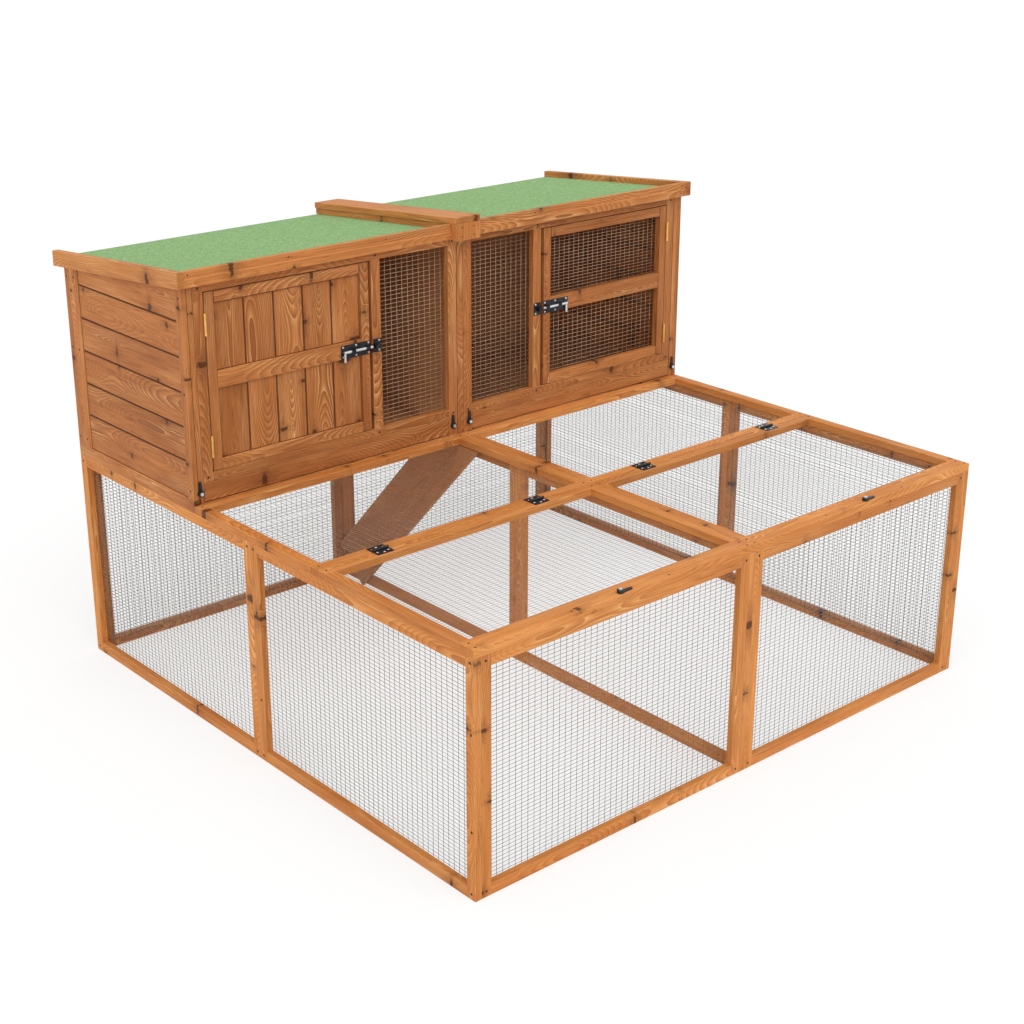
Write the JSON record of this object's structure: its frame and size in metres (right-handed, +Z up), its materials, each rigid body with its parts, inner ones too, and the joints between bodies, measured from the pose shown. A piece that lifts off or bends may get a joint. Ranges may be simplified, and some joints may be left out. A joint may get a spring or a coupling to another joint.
{
  "type": "outdoor rabbit hutch and run",
  "caption": "Raised hutch with a felt roof behind a wire-mesh run with lifting lids, side-hung doors, bolts, slide-out trays and turn buttons.",
  "frame": {"origin": "centre of the footprint of the whole part, on the ground", "axes": "+X to the right seen from the front, -Y is the front with the run, +Z up"},
  "size_m": [1.87, 1.788, 1.2984],
  "materials": {
    "run_timber": "orange-stained softwood, satin",
    "hutch_timber": "brown-stained softwood, satin",
    "galvanised_wire": "galvanised",
    "brown_lacquer": "brown lacquer on sheet steel",
    "black_steel": "black lacquer",
    "zinc_plate": "zinc plate",
    "brass": "brass plate",
    "roof_felt": "green mineral felt, matt"
  },
  "bodies": {
    "housing": {"left_wall_frames": "run_timber", "right_wall_frames": "run_timber", "front_wall_frames": "run_timber", "rear_wall_frames": "run_timber", "partition_frames": "run_timber", "left_wall_nets": "galvanised_wire", "right_wall_nets": "galvanised_wire", "front_wall_nets": "galvanised_wire", "rear_wall_nets": "galvanised_wire", "front_top_rail": "run_timber", "top_strip_frames": "run_timber", "top_strip_nets": "galvanised_wire", "lid_hinge_fixed_leaves": "black_steel", "pivot_screws": "zinc_plate", "hutch_base_rails": "hutch_timber", "hutch_floor_panels": "hutch_timber", "front_posts": "hutch_timber", "left_front_frame": "hutch_timber", "right_front_frame": "hutch_timber", "end_stiles": "hutch_timber", "end_boards": "hutch_timber", "back_stiles": "hutch_timber", "back_boards": "hutch_timber", "inner_walls": "hutch_timber", "window_nets": "galvanised_wire", "door_hinge_frame_leaves": "brass", "bolt_keepers": "zinc_plate", "roof_sheets": "hutch_timber", "roof_felts": "roof_felt", "fascia_board": "hutch_timber", "verge_boards": "hutch_timber", "centre_cap": "hutch_timber", "ramp_board": "hutch_timber", "ramp_cleats": "hutch_timber"},
    "left_lid": {"left_lid_frame": "run_timber", "left_lid_net": "galvanised_wire", "left_lid_hinge_leaves": "black_steel"},
    "right_lid": {"right_lid_frame": "run_timber", "right_lid_net": "galvanised_wire", "right_lid_hinge_leaves": "black_steel"},
    "left_lid_button": {"left_lid_button": "black_steel"},
    "right_lid_button": {"right_lid_button": "black_steel"},
    "left_door": {"left_door_frame": "hutch_timber", "left_door_boards": "hutch_timber", "left_door_hinge_leaves": "brass", "left_bolt_case": "zinc_plate"},
    "right_door": {"right_door_frame": "hutch_timber", "right_door_nets": "galvanised_wire", "right_door_hinge_leaves": "brass", "right_bolt_case": "zinc_plate"},
    "left_bolt": {"left_bolt_rod": "zinc_plate"},
    "right_bolt": {"right_bolt_rod": "zinc_plate"},
    "left_tray": {"left_tray_front": "hutch_timber", "left_tray_pan": "brown_lacquer"},
    "right_tray": {"right_tray_front": "hutch_timber", "right_tray_pan": "brown_lacquer"},
    "tray_button_a": {"tray_button_a": "black_steel"},
    "tray_button_b": {"tray_button_b": "black_steel"},
    "tray_button_c": {"tray_button_c": "black_steel"},
    "tray_button_d": {"tray_button_d": "black_steel"}
  },
  "joints": [
    {"name": "left_lid_hinge", "type": "hinge", "parent": "housing", "child": "left_lid", "pos_m": [-0.458, -0.309, 0.6467], "axis": [-1, 0, 0], "range_deg": [0, 105]},
    {"name": "right_lid_hinge", "type": "hinge", "parent": "housing", "child": "right_lid", "pos_m": [0.458, -0.309, 0.6467], "axis": [-1, 0, 0], "range_deg": [0, 105]},
    {"name": "left_lid_button_pivot", "type": "hinge", "parent": "housing", "child": "left_lid_button", "pos_m": [-0.458, -0.884, 0.647], "axis": [0, 0, -1], "range_deg": [-90, 0]},
    {"name": "right_lid_button_pivot", "type": "hinge", "parent": "housing", "child": "right_lid_button", "pos_m": [0.458, -0.884, 0.647], "axis": [0, 0, -1], "range_deg": [-90, 0]},
    {"name": "left_door_hinge", "type": "hinge", "parent": "housing", "child": "left_door", "pos_m": [-0.8505, 0.2453, 0.97], "axis": [0, 0, -1], "range_deg": [0, 170]},
    {"name": "right_door_hinge", "type": "hinge", "parent": "housing", "child": "right_door", "pos_m": [0.8505, 0.2453, 0.97], "axis": [0, 0, 1], "range_deg": [0, 170]},
    {"name": "left_bolt_slide", "type": "slide", "parent": "left_door", "child": "left_bolt", "axis": [-1, 0, 0], "range_m": [-0.016, 0]},
    {"name": "right_bolt_slide", "type": "slide", "parent": "right_door", "child": "right_bolt", "axis": [1, 0, 0], "range_m": [-0.016, 0]},
    {"name": "left_tray_slide", "type": "slide", "parent": "housing", "child": "left_tray", "axis": [0, -1, 0], "range_m": [0, 0.45]},
    {"name": "right_tray_slide", "type": "slide", "parent": "housing", "child": "right_tray", "axis": [0, -1, 0], "range_m": [0, 0.45]},
    {"name": "tray_button_a_pivot", "type": "hinge", "parent": "housing", "child": "tray_button_a", "pos_m": [-0.895, 0.246, 0.675], "axis": [0, -1, 0], "range_deg": [-90, 0]},
    {"name": "tray_button_b_pivot", "type": "hinge", "parent": "housing", "child": "tray_button_b", "pos_m": [-0.031, 0.246, 0.675], "axis": [0, 1, 0], "range_deg": [-90, 0]},
    {"name": "tray_button_c_pivot", "type": "hinge", "parent": "housing", "child": "tray_button_c", "pos_m": [0.031, 0.246, 0.675], "axis": [0, -1, 0], "range_deg": [-90, 0]},
    {"name": "tray_button_d_pivot", "type": "hinge", "parent": "housing", "child": "tray_button_d", "pos_m": [0.895, 0.246, 0.675], "axis": [0, 1, 0], "range_deg": [-90, 0]}
  ]
}
